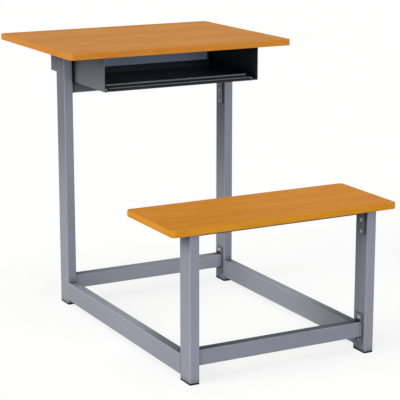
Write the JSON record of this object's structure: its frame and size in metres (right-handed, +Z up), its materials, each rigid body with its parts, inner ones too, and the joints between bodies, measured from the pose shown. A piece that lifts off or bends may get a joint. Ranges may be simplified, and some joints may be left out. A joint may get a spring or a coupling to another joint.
{
  "type": "school desk with attached bench",
  "caption": "School desk with a fixed wood-tone top over an open-front steel book box, joined by a grey tube frame to a low bench seat without a back.",
  "frame": {"origin": "on the floor, at the centre of the footprint's bounding box (desktop back edge to seat front edge, side to side)", "axes": "+Z up; +Y from the bench to the desk, the way the sitter faces; +X to the sitter's right"},
  "size_m": [0.63, 0.995, 0.7],
  "materials": {
    "frame_paint": "satin grey powder coat, fine texture",
    "box_paint": "satin dark grey powder coat on sheet steel",
    "desktop_laminate": "beech-tone laminate, satin",
    "desktop_edge": "beech-tone edge band, satin",
    "seat_laminate": "beech-tone laminate, satin",
    "seat_edge": "beech lipping, clear lacquer",
    "board_core": "raw chipboard",
    "board_backing": "plain brown backing sheet",
    "black_plastic": "moulded, fine matt texture",
    "zinc_bolts": "zinc plated, satin",
    "screw_steel": "zinc plated, satin"
  },
  "bodies": {
    "root": {"bench_lower_rail": "frame_paint", "bench_lower_rail_left_plate": "frame_paint", "bench_lower_rail_right_plate": "frame_paint", "bench_seat_bar": "frame_paint", "bench_seat_bar_left_plate": "frame_paint", "bench_seat_bar_right_plate": "frame_paint", "box_back_stiffener": "box_paint", "box_back_wall": "box_paint", "box_corner_screws": "screw_steel", "box_floor": "box_paint", "box_front_lip": "box_paint", "box_groove_bead": "box_paint", "box_left_panel": "box_paint", "box_rail_screws": "screw_steel", "box_right_panel": "box_paint", "box_rivets": "screw_steel", "box_top_screws": "screw_steel", "desk_lower_rail": "frame_paint", "desk_lower_rail_left_plate": "frame_paint", "desk_lower_rail_right_plate": "frame_paint", "desk_upper_rail": "frame_paint", "desk_upper_rail_left_plate": "frame_paint", "desk_upper_rail_right_plate": "frame_paint", "desktop_backing": "board_backing", "desktop_core": "board_core", "desktop_edge_band": "desktop_edge", "desktop_laminate": "desktop_laminate", "desktop_screws": "screw_steel", "frame_bolts": "zinc_bolts", "frame_weld_nuts": "zinc_bolts", "left_bench_foot_cap": "black_plastic", "left_bench_post": "frame_paint", "left_desk_arm": "frame_paint", "left_desk_arm_plug": "black_plastic", "left_desk_foot_cap": "black_plastic", "left_desk_head_plate": "frame_paint", "left_desk_post": "frame_paint", "left_floor_rail": "frame_paint", "left_seat_arm": "frame_paint", "left_seat_arm_plug": "black_plastic", "left_seat_head_plate": "frame_paint", "right_bench_foot_cap": "black_plastic", "right_bench_post": "frame_paint", "right_desk_arm": "frame_paint", "right_desk_arm_plug": "black_plastic", "right_desk_foot_cap": "black_plastic", "right_desk_head_plate": "frame_paint", "right_desk_post": "frame_paint", "right_floor_rail": "frame_paint", "right_seat_arm": "frame_paint", "right_seat_arm_plug": "black_plastic", "right_seat_head_plate": "frame_paint", "seat_backing": "board_backing", "seat_bar_screws": "screw_steel", "seat_core": "board_core", "seat_edge_band": "seat_edge", "seat_laminate": "seat_laminate", "seat_screws": "screw_steel"}
  },
  "joints": []
}
